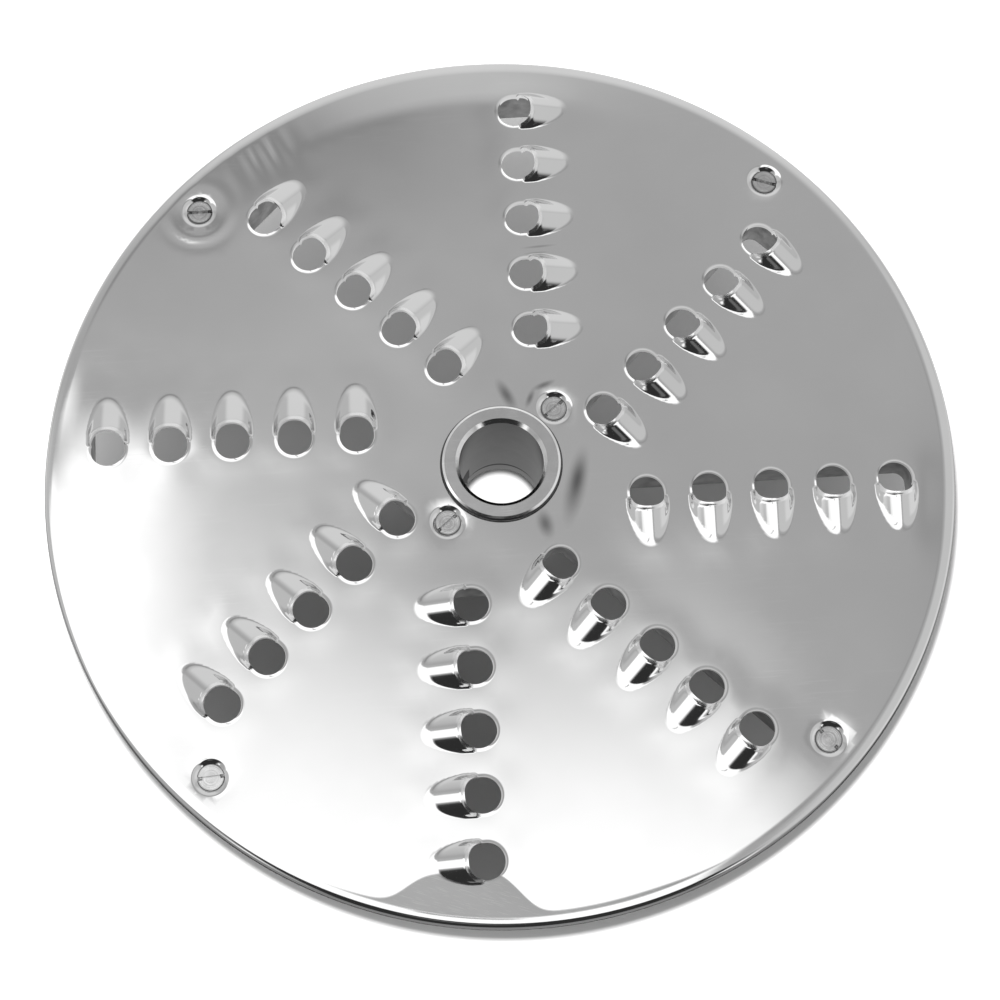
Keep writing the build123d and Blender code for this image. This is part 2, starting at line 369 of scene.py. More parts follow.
def make_plate():
    """Pressed plate: an O-shaped grid round each mouth and dimple, the field between them, and the edge."""
    shell = Shell()
    turn, along, across = tooth_frames()
    c, s = np.cos(turn)[:, None, None], np.sin(turn)[:, None, None]

    # One tooth in its own axes, then at all its places
    frac = np.linspace(0, 1, tooth_columns, endpoint=False)
    mouth = np.stack([np.sin(2 * pi * frac), np.cos(2 * pi * frac)], -1)
    mouth *= mouth_r / (mouth_distance(*mouth.T) + mouth_r)[:, None]
    egg = egg_outline(tooth_columns, egg_margin)

    def tooth_block(rows):
        w = np.linspace(0, 1, rows + 1)
        w = w * (0.4 + 0.6 * w)
        local = mouth + (egg - mouth) * w[:, None, None]
        x, y = local[..., 0], local[..., 1]
        gx, gy = slope(tooth_relief, x, y)
        wx = (x + along[:, None, None]) * c - (y + across[:, None, None]) * s
        wy = (x + along[:, None, None]) * s + (y + across[:, None, None]) * c
        sx, sy = slope(sheet_relief, wx, wy)
        height = tooth_relief(x, y) + sheet_relief(wx, wy)
        normals = up_normals(gx * c - gy * s + sx, gx * s + gy * c + sy)
        mark = np.broadcast_to(ground_mask(x, y), height.shape)
        return np.stack([wx, wy, plate_z + height], -1), normals, mark

    top, top_n, mark = tooth_block(tooth_rows)
    low, low_n, _ = tooth_block(tooth_rows_below)
    teeth = shell.add(top, mark)
    teeth_low = shell.add(lower_side(low, low_n))
    shell.grid(teeth, top_n)
    shell.grid(teeth_low, -low_n, flip=True)
    inward = np.stack([-np.sin(2 * pi * frac), -np.cos(2 * pi * frac)], -1)
    wall = np.stack([inward[:, 0] * c[:, 0] - inward[:, 1] * s[:, 0],
                     inward[:, 0] * s[:, 0] + inward[:, 1] * c[:, 0],
                     np.zeros((len(turn), tooth_columns))], -1)
    shell.grid(np.stack([teeth[:, 0], teeth_low[:, 0]], 1), np.stack([wall, wall], 1), flip=True)

    # Dimples
    r = np.concatenate([np.linspace(dimple_hole_r, dimple_r - 0.8, 3)[:-1],
                        np.linspace(dimple_r - 0.8, dimple_r + dimple_margin, dimple_rows - 1)])
    a = np.linspace(0, 2 * pi, dimple_columns, endpoint=False)
    centres = screw_centres()
    dx, dy = np.cos(a), np.sin(a)

    def dimple_block(r):
        px = centres[:, None, None, 0] + r[:, None] * dx
        py = centres[:, None, None, 1] + r[:, None] * dy
        step = 0.01
        gr = ((dimple_relief(r + step) - dimple_relief(r - step)) / (2 * step))[:, None]
        sx, sy = slope(sheet_relief, px, py)
        normals = up_normals(gr * dx + sx, gr * dy + sy)
        return np.stack([px, py, plate_z + dimple_relief(r)[:, None] + sheet_relief(px, py)], -1), normals

    dimple_p, dimple_n = dimple_block(r)
    under_p, under_n = dimple_block(r[[0, 2, 6, -1]])
    dimples = shell.add(dimple_p)
    dimples_low = shell.add(lower_side(under_p, under_n))
    shell.grid(dimples, dimple_n, flip=True)
    shell.grid(dimples_low, -under_n)
    wall = np.broadcast_to(-np.stack([dx, dy, 0 * dx], -1), dimples.shape[:1] + (dimple_columns, 3))
    shell.grid(np.stack([dimples[:, 0], dimples_low[:, 0]], 1), np.stack([wall, wall], 1))

    # Field between them, from the hub's hole to the foot of the edge
    field_r = crown_end - 2.0
    hub_ring = ring(hub_hole_r, hub_columns)
    edge_ring = ring(field_r, edge_columns)

    def honeycomb(step):
        g = np.arange(-field_r, field_r, step)
        gx, gy = np.meshgrid(g, g * sqrt(3) / 2 * 1.16)
        gx = gx + step / 2 * (np.arange(len(g)) % 2)[:, None]
        return gx.reshape(-1), gy.reshape(-1)

    def rim_rings(step):
        r = np.concatenate([np.arange(rim_zone, 95, 2 * step), np.arange(95.2, field_r - 0.4, step)])[:, None]
        a = np.linspace(0, 2 * pi, edge_columns, endpoint=False)
        return (r * np.cos(a)).reshape(-1), (r * np.sin(a)).reshape(-1)

    def clearance(x, y):
        """Distance outside every tooth, dimple and hole outline, negative inside one."""
        gap = np.minimum(field_r - np.hypot(x, y), np.hypot(x, y) - hub_hole_r)
        for k in range(len(turn)):
            u = x * cos(turn[k]) + y * sin(turn[k]) - along[k]
            v = -x * sin(turn[k]) + y * cos(turn[k]) - across[k]
            gap = np.minimum(gap, egg_side(u, v, egg_margin))
        for cx, cy in centres:
            gap = np.minimum(gap, np.hypot(x - cx, y - cy) - r[-1])
        return gap

    free = []
    for step, place in ((field_step, 0), (rim_step, 1), (ring_step, 2)):
        px, py = rim_rings(step) if place == 1 else honeycomb(step)
        fine = np.hypot(px - centres[hard_screw, 0], py - centres[hard_screw, 1]) < ring_zone
        fine |= np.hypot(px - fold_place[0], py - fold_place[1]) < fold_zone
        zone = np.where(fine, 2, np.where(np.hypot(px, py) > rim_zone - 0.1, 1, 0))
        kept = (zone == place) & (clearance(px, py) > 0.45 * step)
        free.append(np.stack([px, py], -1)[kept])
    free = np.concatenate(free)
    outlines = [top[:, -1].reshape(-1, 3)[:, :2], dimple_p[:, -1].reshape(-1, 3)[:, :2],
                hub_ring[:, :2], edge_ring[:, :2]]
    loops = [(len(turn), tooth_columns), (len(centres), dimple_columns), (1, hub_columns), (1, edge_columns)]
    edges, start = [], 0
    for loop_count, length in loops:
        first = start + np.arange(loop_count * length).reshape(loop_count, length)
        edges.append(np.stack([first, np.roll(first, -1, 1)], -1).reshape(-1, 2))
        start += loop_count * length

    def fill(flat):
        """Triangles between the outlines, turned to face up."""
        sides = np.concatenate(edges).tolist()
        made = delaunay_2d_cdt([Vector(p) for p in flat.tolist()], sides, [], 0, 1e-7, True)
        if len(made[0]) != len(flat):
            raise ValueError("the field's outlines cross")
        triangles = np.array([ids[0] for ids in made[3]])[np.array(made[2])]
        middle = flat[triangles].mean(1)
        triangles = triangles[clearance(middle[:, 0], middle[:, 1]) > 0]
        p, q, t = flat[triangles[:, 0]], flat[triangles[:, 1]], flat[triangles[:, 2]]
        turned = (q[:, 0] - p[:, 0]) * (t[:, 1] - p[:, 1]) - (q[:, 1] - p[:, 1]) * (t[:, 0] - p[:, 0])
        triangles[turned < 0] = triangles[turned < 0][:, ::-1]
        return triangles

    triangles = fill(np.concatenate(outlines + [free]))
    triangles_low = fill(np.concatenate(outlines))

    loose = np.concatenate([hub_ring[:, :2], edge_ring[:, :2], free])
    sx, sy = slope(sheet_relief, loose[:, 0], loose[:, 1])
    loose_n = up_normals(sx, sy)
    loose_p = np.column_stack([loose, plate_z + sheet_relief(loose[:, 0], loose[:, 1])])
    loose_top = shell.add(loose_p)
    rims = hub_columns + edge_columns
    loose_low = shell.add(lower_side(loose_p[:rims], loose_n[:rims]))
    number = np.concatenate([teeth[:, -1].reshape(-1), dimples[:, -1].reshape(-1), loose_top])
    number_low = np.concatenate([teeth_low[:, -1].reshape(-1), dimples_low[:, -1].reshape(-1), loose_low])
    field_n = np.concatenate([top_n[:, -1].reshape(-1, 3), dimple_n[:, -1].reshape(-1, 3), loose_n])
    shell.face(number[triangles], field_n[triangles])
    shell.face(number_low[triangles_low], -field_n[triangles_low], flip=True)
    wall = -ring(1, hub_columns)
    shell.grid(np.stack([loose_top[:hub_columns], loose_low[:hub_columns]]), np.stack([wall, wall]))

    # Edge: the end of the crown, the roll and the skirt, then back up inside
    a = np.linspace(0, 2 * pi, edge_columns, endpoint=False)
    radial = np.stack([np.cos(a), np.sin(a), 0 * a], -1)
    up = np.array([0, 0, 1.0])
    tilt = np.linspace(crown_slope, pi / 2, roll_rows)
    crown_r = np.array([crown_end - 1.2, crown_end - 0.5])[:, None]
    crown_x, crown_y = crown_r * np.cos(a), crown_r * np.sin(a)
    crown_z = plate_z + sheet_relief(crown_x, crown_y)
    start = plate_z + sheet_relief(crown_end * np.cos(a), crown_end * np.sin(a))
    roll_r = crown_end + edge_radius * (np.sin(tilt) - sin(crown_slope))
    roll_z = start - edge_radius * (cos(crown_slope) - np.cos(tilt))[:, None]
    skirt_end = plate_z - skirt_depth
    skirt_z = np.stack([(roll_z[-1] + skirt_end) / 2, np.full_like(a, skirt_end + 0.2)])
    edge_r = np.concatenate([crown_r[:, 0], roll_r, [disc_r, disc_r]])[:, None, None]
    edge_z = np.concatenate([crown_z, roll_z, skirt_z])[..., None]
    edge_p = edge_r * radial + edge_z * up
    tilt = np.concatenate([tilt, [pi / 2, pi / 2]])[:, None, None]
    edge_n = np.concatenate([up_normals(*slope(sheet_relief, crown_x, crown_y)),
                             np.sin(tilt) * radial + np.cos(tilt) * up])
    back = np.array([0, 2, 5, 8, roll_rows + 1, roll_rows + 3])
    inner_p = edge_p[back] - sheet_t * edge_n[back]
    inner_p[-1, :, 2] = skirt_end
    edge_top = loose_top[hub_columns:hub_columns + edge_columns]
    edge_low = loose_low[hub_columns:hub_columns + edge_columns]
    outer = np.concatenate([edge_top[None], shell.add(edge_p)])
    inner = np.concatenate([edge_low[None], shell.add(inner_p)])
    edge_field_n = loose_n[hub_columns:hub_columns + edge_columns]
    shell.grid(outer, np.concatenate([edge_field_n[None], edge_n]), flip=True)
    shell.grid(inner, np.concatenate([-edge_field_n[None], -edge_n[back]]))
    down = np.broadcast_to(-up, (2, edge_columns, 3))
    shell.grid(np.stack([outer[-1], inner[-1]]), down, flip=True)
    return shell.build("plate", "ground")


def revolve(shell, profile, spread, wall=None):
    """Closed profile swept round the axis: each point moves on a circle, each stretch keeps its own normal.

    A profile point is radius, height and the mark of the stretch that starts there; the outside is on the left.
    spread gives the angles for a radius, so that a part turn can end on one flat wall with the normal given.
    """
    for (r0, z0, mark), (r1, z1, _) in zip(profile, profile[1:] + profile[:1]):
        angles = np.stack([spread(r0), spread(r1)])
        x, y = np.cos(angles), np.sin(angles)
        r, z = np.array([[r0], [r1]]), np.array([[z0], [z1]])
        index = shell.add(np.stack([r * x, r * y, z + 0 * x], -1), mark)
        out_r, out_z = np.array([z0 - z1, r1 - r0]) / hypot(z0 - z1, r1 - r0)
        shell.grid(index, np.stack([out_r * x, out_r * y, out_z + 0 * x], -1), closed=wall is None, flip=True)
    if wall is not None:
        for end in (0, -1):
            outline = [[r * cos(spread(r)[end]), r * sin(spread(r)[end]), z] for r, z, _ in profile]
            # the slot walls get a high mark, which darkens them as painted shade
            index = shell.add(outline, 1.6)
            shell.face(index[None], np.broadcast_to(wall, (1, len(profile), 3)), flip=end == 0)


def make_hub():
    """Hub: a turned bush with a foot, whose lower end is cut across by the drive slot."""
    shell = Shell()
    slot_turn = radians(pin_slot_turn)

    def whole(r):
        return np.linspace(0, 2 * pi, hub_columns * 2, endpoint=False)

    seam = pin_slot_depth - 0.01
    # Marks: painted shade darkens the bore and the chamfer's steep stretch, a painted highlight lightens the
    # outer chamfer; higher marks are also rougher
    upper = [(bore_r, seam, 1.25), (bore_r, hub_top - bore_chamfer, 0.0), (bore_r + bore_chamfer, hub_top, 0.4),
             (hub_r - hub_edge_chamfer, hub_top, -0.5),
             (hub_r - hub_edge_break[0], hub_top - hub_edge_break[1], 1.5),
             (hub_r, hub_top - hub_edge_chamfer, 0.3), (hub_r, foot_top, 0.5), (foot_r, foot_top, 0.5),
             (foot_r, seam, 0.5)]
    revolve(shell, upper, whole)
    # Painted shade darkens the relief, its top stretch, the ledge and the bore below them
    lower = [(relief_r, 0, 1.2), (relief_r, relief_z - relief_shade, 1.75), (relief_r, relief_z, 1.6),
             (bore_r, relief_z, 1.25), (bore_r, pin_slot_depth, 0.6), (foot_r, pin_slot_depth, 0.5),
             (foot_r, foot_chamfer, 0.2), (foot_r - foot_chamfer, 0, 0.5)]
    for side in (slot_turn, slot_turn + pi):
        def half(r):
            cut = asin(pin_slot_half / r)
            return side + np.linspace(cut, pi - cut, hub_columns)

        revolve(shell, lower, half, wall=(sin(side), -cos(side), 0))
    return shell.build("hub", "shade_and_dullness")


# Materials

def new_material(name):
    """Empty node material with its Principled shader."""
    material = bpy.data.materials.new(name)
    material.use_nodes = True
    tree = material.node_tree
    return material, tree.nodes, tree.links, tree.nodes["Principled BSDF"]


def math_node(nodes, links, operation, *values):
    """Math node fed by sockets or numbers."""
    node = nodes.new("ShaderNodeMath")
    node.operation = operation
    for socket, value in zip(node.inputs, values):
        if hasattr(value, "links"):
            links.new(value, socket)
        else:
            socket.default_value = value
    return node.outputs[0]


def ramp_node(nodes, links, value, start, end, low=0.0, high=1.0):
    """Smooth ramp of a value from low at start to high at end."""
    node = nodes.new("ShaderNodeMapRange")
    node.interpolation_type = "SMOOTHSTEP"
    links.new(value, node.inputs["Value"])
    for name, number in (("From Min", start), ("From Max", end), ("To Min", low), ("To Max", high)):
        node.inputs[name].default_value = number
    return node.outputs["Result"]


def attribute_node(nodes, name):
    """Value of a mesh attribute."""
    node = nodes.new("ShaderNodeAttribute")
    node.attribute_name = name
    return node.outputs["Fac"]


def shared_group(name, inputs, outputs):
    """Empty shader node group with the named sockets; gives its tree, its inputs' and its outputs' sockets."""
    tree = bpy.data.node_groups.new(name, "ShaderNodeTree")
    for label, kind, value in inputs:
        socket = tree.interface.new_socket(label, in_out="INPUT", socket_type="NodeSocket" + kind)
        if kind == "Float":
            socket.default_value = value
    for label in outputs:
        tree.interface.new_socket(label, in_out="OUTPUT", socket_type="NodeSocketFloat")
    return tree, tree.nodes.new("NodeGroupInput").outputs, tree.nodes.new("NodeGroupOutput").inputs


def noise_node(nodes, links, vector, scale, detail):
    """Noise over a vector, at a scale per metre."""
    node = nodes.new("ShaderNodeTexNoise")
    links.new(vector, node.inputs["Vector"])
    if hasattr(scale, "links"):
        links.new(scale, node.inputs["Scale"])
    else:
        node.inputs["Scale"].default_value = scale
    node.inputs["Detail"].default_value = detail
    return node.outputs["Fac"]


def mapped_node(nodes, links, vector, place, turn, scale):
    """Vector moved by a place, turned about Z and scaled, as one Mapping node."""
    node = nodes.new("ShaderNodeMapping")
    links.new(vector, node.inputs["Vector"])
    node.inputs["Location"].default_value = place
    node.inputs["Rotation"].default_value = (0, 0, radians(turn))
    node.inputs["Scale"].default_value = scale
    return node.outputs["Vector"]


def mottle_group():
    """Cloudy change between two levels: noise at a given scale, spread over its middle third."""
    inputs = [("Vector", "Vector", None), ("Scale", "Float", 100.0),
              ("Low", "Float", 0.0), ("High", "Float", 1.0)]
    tree, given, out = shared_group("cloudy_change", inputs, ["Value"])
    node = tree.nodes.new("ShaderNodeMapRange")
    node.inputs["From Min"].default_value = 0.33
    node.inputs["From Max"].default_value = 0.67
    noise = noise_node(tree.nodes, tree.links, given["Vector"], given["Scale"], 3.0)
    tree.links.new(noise, node.inputs["Value"])
    tree.links.new(given["Low"], node.inputs["To Min"])
    tree.links.new(given["High"], node.inputs["To Max"])
    tree.links.new(node.outputs["Result"], out["Value"])
    return tree


def scratch_group():
    """Fine scratches: three turned sets of noise drawn out into hairs, of which the highest part is kept."""
    tree, given, out = shared_group("fine_scratches", [("Vector", "Vector", None)], ["Mask"])
    nodes, links = tree.nodes, tree.links
    total = None
    for turn, length, width, first in ((28, 60, 2600, 0.66), (-47, 80, 3100, 0.67), (84, 50, 2300, 0.68)):
        hair = mapped_node(nodes, links, given["Vector"], (turn, 0, 0), turn, (length, width, 1))
        mask = ramp_node(nodes, links, noise_node(nodes, links, hair, 1.0, 1.0), first, first + 0.06)
        total = mask if total is None else math_node(nodes, links, "MAXIMUM", total, mask)
    links.new(total, out["Mask"])
    return tree


def streak_group():
    """Soft streak: an oval of a given half length and width, full in its middle and gone at its edge."""
    inputs = [("Vector", "Vector", None), ("X", "Float", 0.0), ("Y", "Float", 0.0), ("Turn", "Float", 0.0),
              ("Half Length", "Float", 0.01), ("Half Width", "Float", 0.001)]
    tree, given, out = shared_group("soft_streak", inputs, ["Mask"])
    nodes, links = tree.nodes, tree.links

    def op(operation, *values):
        return math_node(nodes, links, operation, *values)

    split = nodes.new("ShaderNodeSeparateXYZ")
    links.new(given["Vector"], split.inputs[0])
    x, y = op("SUBTRACT", split.outputs["X"], given["X"]), op("SUBTRACT", split.outputs["Y"], given["Y"])
    c, s = op("COSINE", given["Turn"]), op("SINE", given["Turn"])
    u = op("DIVIDE", op("ADD", op("MULTIPLY", x, c), op("MULTIPLY", y, s)), given["Half Length"])
    v = op("DIVIDE", op("SUBTRACT", op("MULTIPLY", y, c), op("MULTIPLY", x, s)), given["Half Width"])
    away = op("SQRT", op("ADD", op("MULTIPLY", u, u), op("MULTIPLY", v, v)))
    links.new(ramp_node(nodes, links, away, 1.0, 0.0), out["Mask"])
    return tree


def ring_group():
    """Turned rings: noise along the radius only, finer the smaller the pitch."""
    inputs = [("Radius", "Float", 0.0), ("Pitch", "Float", 0.0003)]
    tree, given, out = shared_group("turned_rings", inputs, ["Height"])
    node = tree.nodes.new("ShaderNodeTexNoise")
    node.noise_dimensions = "1D"
    turns = math_node(tree.nodes, tree.links, "DIVIDE", given["Radius"], given["Pitch"])
    tree.links.new(turns, node.inputs["W"])
    node.inputs["Scale"].default_value = 1.0
    node.inputs["Detail"].default_value = 2.0
    tree.links.new(node.outputs["Fac"], out["Height"])
    return tree


cloudy_change, fine_scratches = mottle_group(), scratch_group()
soft_streak, turned_rings = streak_group(), ring_group()


def group_node(nodes, links, tree, **values):
    """Node that uses a shared group, fed by sockets or numbers; a space in an input's name is written _."""
    node = nodes.new("ShaderNodeGroup")
    node.node_tree = tree
    for label, value in values.items():
        socket = node.inputs[label.replace("_", " ")]
        if hasattr(value, "links"):
            links.new(value, socket)
        else:
            socket.default_value = value
    return node.outputs[0]


def object_vector(nodes):
    """Object coordinates."""
    return nodes.new("ShaderNodeTexCoord").outputs["Object"]


def bump_node(nodes, links, height, distance):
    """Bump of a height, its depth in millimetres."""
    node = nodes.new("ShaderNodeBump")
    node.inputs["Distance"].default_value = distance * MM
    links.new(height, node.inputs["Height"])
    return node.outputs["Normal"]


# Handling marks on the plate: place (mm), turn (degrees), half length, half width, strength
streaks = (
    (2.2, 16.4, -64, 5.2, 1.9, 0.6), (16.3, -6.2, 74.5, 11.0, 3.0, 0.6), (17.2, -3.6, 76, 6.0, 2.2, 0.2),
    (8.9, -14.6, -78, 4.4, 2.4, 0.6), (10.8, 18.3, 20, 3.4, 1.0, 0.55), (7.5, 15.3, 65, 3.0, 1.0, 0.55),
    (12.2, 52.7, 3, 4.9, 0.45, 0.3), (11.4, 51.1, 2, 3.7, 0.4, 0.25),
)


# Dulled patch between the front row's last tooth and the rim, drawn out along the rim on both sides (mm)
patch_middle = -14.5
patch_half = 13.0
patch_height = 8.2
patch_tilt = 0.16            # the patch is higher towards the mouth
patch_band = 1.3
patch_band_half = 55.0
patch_outer = 100.4


def dull_patch(nodes, links, vector):
    """One where the plate is dulled: between a bell curve of X that rises from the rim, and the rim's roll."""
    def op(operation, *values):
        return math_node(nodes, links, operation, *values)

    split = nodes.new("ShaderNodeSeparateXYZ")
    links.new(vector, split.inputs[0])
    x, y = split.outputs["X"], split.outputs["Y"]
    r = op("SQRT", op("ADD", op("MULTIPLY", x, x), op("MULTIPLY", y, y)))
    off = op("DIVIDE", op("ABSOLUTE", op("SUBTRACT", x, patch_middle * MM)), patch_half * MM)
    bell = op("EXPONENT", op("MULTIPLY", op("POWER", off, 4.0), -1.0))
    tall = op("MULTIPLY_ADD", op("SUBTRACT", x, patch_middle * MM), patch_tilt, patch_height * MM)
    band = ramp_node(nodes, links, op("ABSOLUTE", x), patch_band_half * MM, 0.4 * patch_band_half * MM)
    reach = op("ADD", op("MULTIPLY", bell, tall), op("MULTIPLY", band, patch_band * MM))
    depth = op("SUBTRACT", op("ADD", r, reach), patch_outer * MM)
    mask = op("MULTIPLY", ramp_node(nodes, links, depth, 0.0, 0.5 * MM),
              ramp_node(nodes, links, r, patch_outer * MM, (patch_outer - 0.4) * MM))
    flat = ramp_node(nodes, links, split.outputs["Z"], (plate_z + 0.4) * MM, (plate_z + 0.15) * MM)
    return op("MULTIPLY", op("MULTIPLY", mask, flat), op("LESS_THAN", y, 0.0))


def polished_steel():
    """Bright polished sheet with faint clouds, hair scratches, handling marks and dull ground strips."""
    material, nodes, links, shader = new_material("polished_plate")

    def op(operation, *values):
        return math_node(nodes, links, operation, *values)

    vector = object_vector(nodes)
    ground = attribute_node(nodes, "ground")
    cloud = group_node(nodes, links, cloudy_change, Vector=vector, Scale=35.0, Low=0.97, High=1.02)
    hairs = group_node(nodes, links, fine_scratches, Vector=vector)
    marks = 0.0
    for x, y, turn, length, width, strength in streaks:
        mark = group_node(nodes, links, soft_streak, Vector=vector, X=x * MM, Y=y * MM, Turn=radians(turn),
                          Half_Length=length * MM, Half_Width=width * MM)
        marks = op("MULTIPLY_ADD", mark, strength, marks)
    patch = dull_patch(nodes, links, vector)
    finer = mapped_node(nodes, links, vector, (0, 0, 0), 20, (3, 3, 3))
    grain = group_node(nodes, links, fine_scratches, Vector=finer)
    dulled = op("MULTIPLY", patch, op("MULTIPLY_ADD", grain, -0.25, 1.0))
    plain = op("MULTIPLY", op("MULTIPLY_ADD", marks, -0.64, op("MULTIPLY_ADD", dulled, -0.33, 0.64)), cloud)
    shade = op("MULTIPLY_ADD", hairs, 0.006, op("MULTIPLY_ADD", ground, 0.12, plain))
    links.new(shade, shader.inputs["Base Color"])
    rough = group_node(nodes, links, cloudy_change, Vector=vector, Scale=60.0, Low=0.06, High=0.1)
    for mask, change in ((marks, 0.1), (ground, 0.16), (hairs, 0.02), (patch, 0.28)):
        rough = op("MULTIPLY_ADD", mask, change, rough)
    links.new(rough, shader.inputs["Roughness"])
    shader.inputs["Metallic"].default_value = 1.0
    return material


def turned_steel():
    """Turned hub with fine rings: hair scratches on its top ring, a painted highlight on the outer chamfer,
    painted shade and a rougher finish in the bore.
    """
    material, nodes, links, shader = new_material("turned_hub")

    def op(operation, *values):
        return math_node(nodes, links, operation, *values)

    vector = object_vector(nodes)
    shade_and_dullness = attribute_node(nodes, "shade_and_dullness")
    split = nodes.new("ShaderNodeSeparateXYZ")
    links.new(vector, split.inputs[0])
    x, y = split.outputs["X"], split.outputs["Y"]
    radius = op("SQRT", op("ADD", op("MULTIPLY", x, x), op("MULTIPLY", y, y)))
    along = op("ADD", radius, split.outputs["Z"])
    rings = group_node(nodes, links, turned_rings, Radius=along, Pitch=0.12 * MM)
    hairs = group_node(nodes, links, fine_scratches, Vector=vector)
    cloud = group_node(nodes, links, cloudy_change, Vector=vector, Scale=220.0, Low=0.93, High=1.04)
    top = ramp_node(nodes, links, shade_and_dullness, 0.6, 0.3)
    # Painted shade and highlight: the mark darkens the bore, relief and slot walls and lightens the outer
    # chamfer
    shade = op("MULTIPLY_ADD", shade_and_dullness, -0.36, op("MULTIPLY_ADD", op("MULTIPLY", hairs, top), 0.06, 0.64))
    links.new(op("MULTIPLY", shade, cloud), shader.inputs["Base Color"])
    rough = op("MULTIPLY_ADD", op("MAXIMUM", shade_and_dullness, 0.0), 0.2, op("MULTIPLY_ADD", rings, 0.08, 0.08))
    links.new(rough, shader.inputs["Roughness"])
    links.new(bump_node(nodes, links, rings, 0.004), shader.inputs["Normal"])
    shader.inputs["Metallic"].default_value = 1.0
    return material


def screw_steel(name, reach):
    """Screw heads turned in fine rings about their axes, at plus and minus reach (mm) in X and Y, darkened
    towards the head's edge as painted shade.
    """
    material, nodes, links, shader = new_material(name)

    def op(operation, *values):
        return math_node(nodes, links, operation, *values)

    vector = object_vector(nodes)
    split = nodes.new("ShaderNodeSeparateXYZ")
    links.new(vector, split.inputs[0])
    x, y = (op("SUBTRACT", op("ABSOLUTE", split.outputs[axis]), reach * MM) for axis in ("X", "Y"))
    radius = op("SQRT", op("ADD", op("MULTIPLY", x, x), op("MULTIPLY", y, y)))
    rings = group_node(nodes, links, turned_rings, Radius=radius, Pitch=0.3 * MM)
    cloud = group_node(nodes, links, cloudy_change, Vector=vector, Scale=500.0, Low=0.85, High=1.05)
    # Painted shade of the gap round each head: the colour falls towards its edge
    edge_shade = ramp_node(nodes, links, radius, head_shade_edge[0] * MM, head_shade_edge[1] * MM, 1.0, 0.3)
    shade = op("MULTIPLY", op("MULTIPLY_ADD", rings, 0.3, 0.36), cloud)
    links.new(op("MULTIPLY", shade, edge_shade), shader.inputs["Base Color"])
    links.new(op("MULTIPLY_ADD", rings, 0.2, 0.12), shader.inputs["Roughness"])
    links.new(bump_node(nodes, links, rings, 0.03), shader.inputs["Normal"])
    shader.inputs["Metallic"].default_value = 1.0
    return material


def cast_metal():
    """Blasted casting: fine grain in its height, cloudy grey, painted darker than the metal as the shade under
    the plate.
    """
    material, nodes, links, shader = new_material("cast_spider")
    vector = object_vector(nodes)
    # Painted shade: a dark grey base stands in for the shade under the plate
    links.new(group_node(nodes, links, cloudy_change, Vector=vector, Scale=70.0, Low=0.2, High=0.28),
              shader.inputs["Base Color"])
    links.new(group_node(nodes, links, cloudy_change, Vector=vector, Scale=400.0, Low=0.42, High=0.6),
              shader.inputs["Roughness"])
    grain = noise_node(nodes, links, vector, 1400.0, 3.0)
    links.new(bump_node(nodes, links, grain, 0.05), shader.inputs["Normal"])
    shader.inputs["Metallic"].default_value = 1.0
    return material


# Stage

view_azimuth = -5.652        # camera in front of the disc, turned about its axis
view_elevation = 72.542
view_distance = 433.4
view_target = (-0.88, -8.74, 34.3)
view_roll = 2.055
view_focal = 70.0


def make_camera():
    """Camera that looks down at the disc from the front."""
    a, e, roll = radians(view_azimuth), radians(view_elevation), radians(view_roll)
    look = Vector((-sin(a) * cos(e), cos(a) * cos(e), -sin(e)))
    right = Vector((cos(a), sin(a), 0))
    up = right.cross(look)
    right, up = right * cos(roll) + up * sin(roll), up * cos(roll) - right * sin(roll)
    camera = bpy.data.objects.new("camera", bpy.data.cameras.new("camera"))
    turn = Matrix((right, up, -look)).transposed().to_4x4()
    camera.matrix_world = Matrix.Translation((Vector(view_target) - look * view_distance) * MM) @ turn
    camera.data.lens = view_focal
    camera.data.sensor_width = 36
    camera.data.clip_start = 0.01
    bpy.context.scene.collection.objects.link(camera)
    bpy.context.scene.camera = camera


# Studio round the disc, in degrees east and north of the zenith as the camera stands: level, then the corners
# of a convex outline, counter-clockwise, each with the softness of the side that starts there
studio_base = 0.56
studio_panels = (
    (0.7, (-220, 37, 11), (220, 37, 9), (220, 170, 8), (-220, 170, 8)),            # far side
    (0.96, (-30, 41, 12), (36, 41, 10), (60, 170, 8), (-60, 170, 10)),
    (0.75, (-150, -25, 6), (-46, -25, 6), (-36, 25, 6), (-150, 35, 6)),            # left
    (0.82, (24, -45, 5), (150, -45, 5), (150, 42, 5), (24, 38, 4)),                # right
    (1.0, (58, -30, 8), (150, -30, 8), (150, 25, 8), (58, 25, 8)),                 # far right
    (0.32, (-24, 26, 3), (-2, 27, 3), (-2, 31, 4), (-24, 31, 4)),                  # edge of the lamp, far side
    (0.44, (14, -4, 3), (18, -4, 3), (18, 24, 3), (14, 24, 3)),                    # edge of the lamp, right
    (0.04, (-40, -150, 6), (90, -150, 6), (62, -80, 6), (30, -24, 5), (-36, -24, 6)),   # dark front
    (0.65, (-9, 14, 3), (-1.5, 14, 3), (-1.5, 22.5, 3), (-9, 22.5, 3)),            # left of the middle
    (0.92, (-10, 6, 2), (-5, 6, 3), (-5, 17.5, 2.5), (-10, 17.5, 2)),
    (1.7, (-30, -20, 3), (22.5, -27, 1.3), (8, 11.5, 6), (-30, 11.5, 1.5)),        # lamp
    (1.7, (-62, -16, 3), (-9.5, -20, 1), (-9.5, 19, 1.5), (-33, 19, 2)),           # lamp, left part
    (0.3, (-2.6, -16, 0.8), (-0.2, -16, 0.8), (-0.8, 0, 0.4), (-1.8, 0, 0.8)),     # camera
    (0.2, (-10, -47, 3), (4, -47, 3), (4, -36, 3), (-10, -36, 3)),                 # gap below it
    (1.6, (41, -58, 2), (53, -58, 2), (53, -48, 2), (41, -48, 2)),                 # small lamps
    (1.6, (-53, -60, 2), (-41, -60, 2), (-41, -50, 2), (-53, -50, 2)),
)


